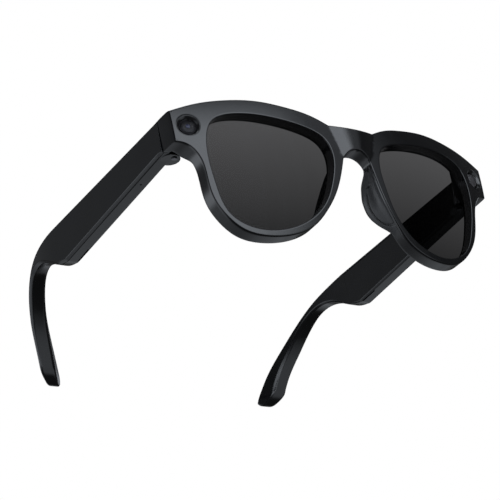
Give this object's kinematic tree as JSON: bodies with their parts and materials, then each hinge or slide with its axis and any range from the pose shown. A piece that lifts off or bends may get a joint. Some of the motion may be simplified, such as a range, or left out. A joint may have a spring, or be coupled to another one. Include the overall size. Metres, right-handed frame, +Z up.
{
  "type": "smart glasses",
  "caption": "Black camera glasses with tall rims, dark curved lenses, round camera and light windows, and thick folding temples with drooping ear tips",
  "frame": {"origin": "middle of the bounding box on the ground, with the glasses standing open on the rim bottoms and ear tips", "axes": "+X to the wearer's left, +Y from the front towards the ear tips, +Z up"},
  "size_m": [0.1504, 0.1608, 0.0557],
  "materials": {
    "frame_black": "polished injection-moulded black",
    "tinted_lens": "dark grey gradient tint",
    "trim_black": "gloss black",
    "clear_window": "dark clear window",
    "camera_glass": "blue coated glass",
    "barrel_black": "matte black",
    "chip_black": "matte moulding compound",
    "circuit_board": "solder mask green",
    "emitter_white": "translucent white",
    "flex_amber": "polyimide film",
    "hinge_steel": "satin",
    "contact_brass": "gold plated",
    "cell_wrap": "pouch cell wrap",
    "speaker_black": "matte black",
    "mesh_steel": "black woven mesh"
  },
  "bodies": {
    "front": {"camera_barrel": "barrel_black", "camera_board": "circuit_board", "camera_lens": "camera_glass", "camera_ring": "trim_black", "camera_sensor": "chip_black", "camera_window": "clear_window", "charging_contacts": "contact_brass", "front_flex": "flex_amber", "front_frame": "frame_black", "hinge_plate_left": "hinge_steel", "hinge_plate_right": "hinge_steel", "hinge_plate_screws": "hinge_steel", "lens_left": "tinted_lens", "lens_right": "tinted_lens", "nose_pad_left": "frame_black", "nose_pad_right": "frame_black", "rear_cover": "frame_black", "status_light_board": "circuit_board", "status_light_diffuser": "emitter_white", "status_light_emitter": "emitter_white", "status_light_ring": "trim_black", "status_light_window": "clear_window"},
    "temple_left": {"battery": "cell_wrap", "charging_board": "circuit_board", "ear_core_left": "hinge_steel", "hinge_cable_left": "flex_amber", "hinge_leaf_left": "hinge_steel", "hinge_screw_left": "hinge_steel", "microphone_left": "speaker_black", "speaker_grille_left": "mesh_steel", "speaker_left": "speaker_black", "temple_cover_left": "frame_black", "temple_shell_left": "frame_black"},
    "temple_right": {"button_contact": "hinge_steel", "ear_core_right": "hinge_steel", "hinge_cable_right": "flex_amber", "hinge_leaf_right": "hinge_steel", "hinge_screw_right": "hinge_steel", "main_board": "circuit_board", "main_chips": "chip_black", "microphone_right": "speaker_black", "speaker_grille_right": "mesh_steel", "speaker_right": "speaker_black", "temple_cover_right": "frame_black", "temple_shell_right": "frame_black", "touch_strip": "flex_amber"},
    "capture_button": {"capture_button": "trim_black"},
    "power_switch": {"power_switch": "trim_black"}
  },
  "joints": [
    {"name": "left_temple_hinge", "type": "hinge", "parent": "front", "child": "temple_left", "pos_m": [0.0669, -0.05753, 0.04224], "axis": [0, -0.1068, 0.9943], "range_deg": [0, 76]},
    {"name": "right_temple_hinge", "type": "hinge", "parent": "front", "child": "temple_right", "pos_m": [-0.0669, -0.05753, 0.04224], "axis": [0, 0.1068, -0.9943], "range_deg": [0, 90]},
    {"name": "capture_button_press", "type": "slide", "parent": "temple_right", "child": "capture_button", "axis": [0, -0.0501, -0.9987], "range_m": [0, 0.0005], "stiffness_N_per_m": 3000},
    {"name": "power_switch_slide", "type": "slide", "parent": "temple_left", "child": "power_switch", "axis": [0, 0.9987, -0.0501], "range_m": [0, 0.002]}
  ]
}
